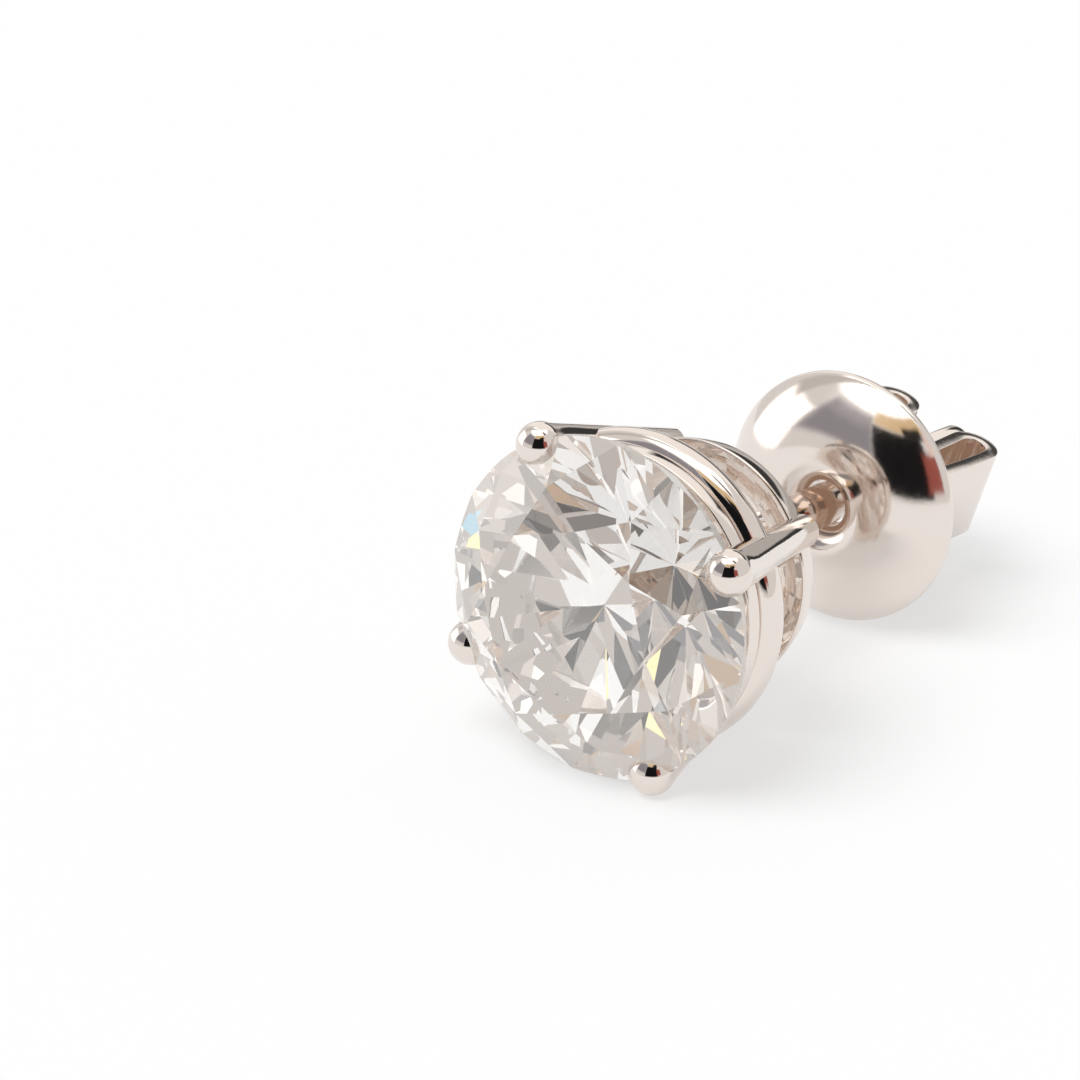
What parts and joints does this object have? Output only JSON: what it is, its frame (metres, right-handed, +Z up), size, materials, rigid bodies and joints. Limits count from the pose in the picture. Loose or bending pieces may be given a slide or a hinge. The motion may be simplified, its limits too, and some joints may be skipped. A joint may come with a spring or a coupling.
{
  "type": "stud earring",
  "caption": "Stud earring: a round brilliant stone in a wire basket with ball-tipped prongs, on a notched post with a domed clip-on back.",
  "frame": {"origin": "centre of the bounding box's base, on the surface the stud lies on", "axes": "+Z up; the stone's table faces -Y; the post runs towards +Y, dipping by 4.6 degrees"},
  "size_m": [0.0064, 0.0142, 0.0065],
  "materials": {
    "brilliant": "polished, colourless, facetted",
    "white_gold": "polished"
  },
  "bodies": {
    "stud": {"stone": "brilliant", "basket_setting": "white_gold"},
    "back": {"earring_back": "white_gold"}
  },
  "joints": [
    {"name": "back_slide", "type": "slide", "parent": "stud", "child": "back", "axis": [0, 0.9967, -0.0806], "range_m": [-0.0036, 0.005]}
  ]
}
